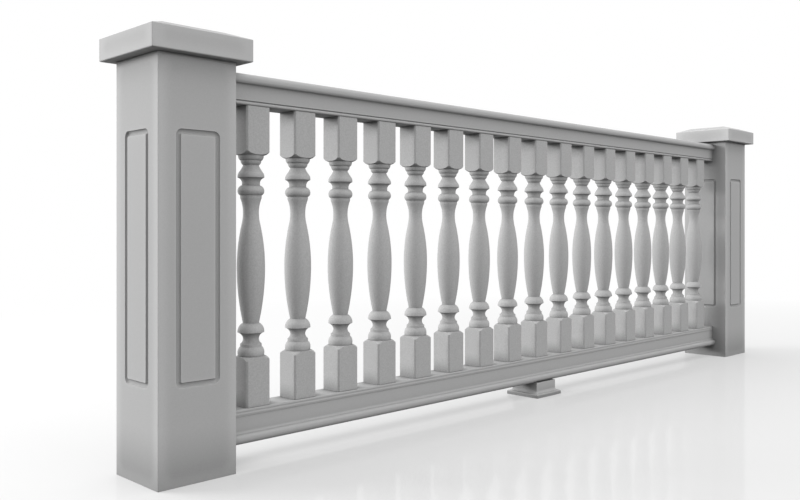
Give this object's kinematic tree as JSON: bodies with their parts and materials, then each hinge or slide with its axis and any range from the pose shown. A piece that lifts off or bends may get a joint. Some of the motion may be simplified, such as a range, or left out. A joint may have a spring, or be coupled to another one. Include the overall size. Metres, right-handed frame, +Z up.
{
  "type": "polyurethane balustrade",
  "caption": "Balustrade bay of turned balusters between a moulded handrail and bottom rail, with panelled square newel posts, flat pyramid caps and a support block under the rail.",
  "frame": {"origin": "on the ground, midway between the two newel posts and on the centre line of the rails (bottom centre of the bounding box)", "axes": "+X along the rails towards the right post as seen from the front, +Y through the rails away from the front, +Z up"},
  "size_m": [3.346, 0.286, 1.16],
  "materials": {
    "post_moulding": "matt grey painted polyurethane, very fine orange-peel texture",
    "rail_moulding": "matt grey painted polyurethane, very fine grain along the moulding",
    "turned_moulding": "matt grey painted polyurethane, cast in a turned form"
  },
  "bodies": {
    "root": {"left_post": "post_moulding", "right_post": "post_moulding", "left_post_cap": "post_moulding", "right_post_cap": "post_moulding", "top_rail": "rail_moulding", "bottom_rail": "rail_moulding", "support_block": "rail_moulding", "baluster_01": "turned_moulding", "baluster_02": "turned_moulding", "baluster_03": "turned_moulding", "baluster_04": "turned_moulding", "baluster_05": "turned_moulding", "baluster_06": "turned_moulding", "baluster_07": "turned_moulding", "baluster_08": "turned_moulding", "baluster_09": "turned_moulding", "baluster_10": "turned_moulding", "baluster_11": "turned_moulding", "baluster_12": "turned_moulding", "baluster_13": "turned_moulding", "baluster_14": "turned_moulding", "baluster_15": "turned_moulding", "baluster_16": "turned_moulding", "baluster_17": "turned_moulding"}
  },
  "joints": []
}
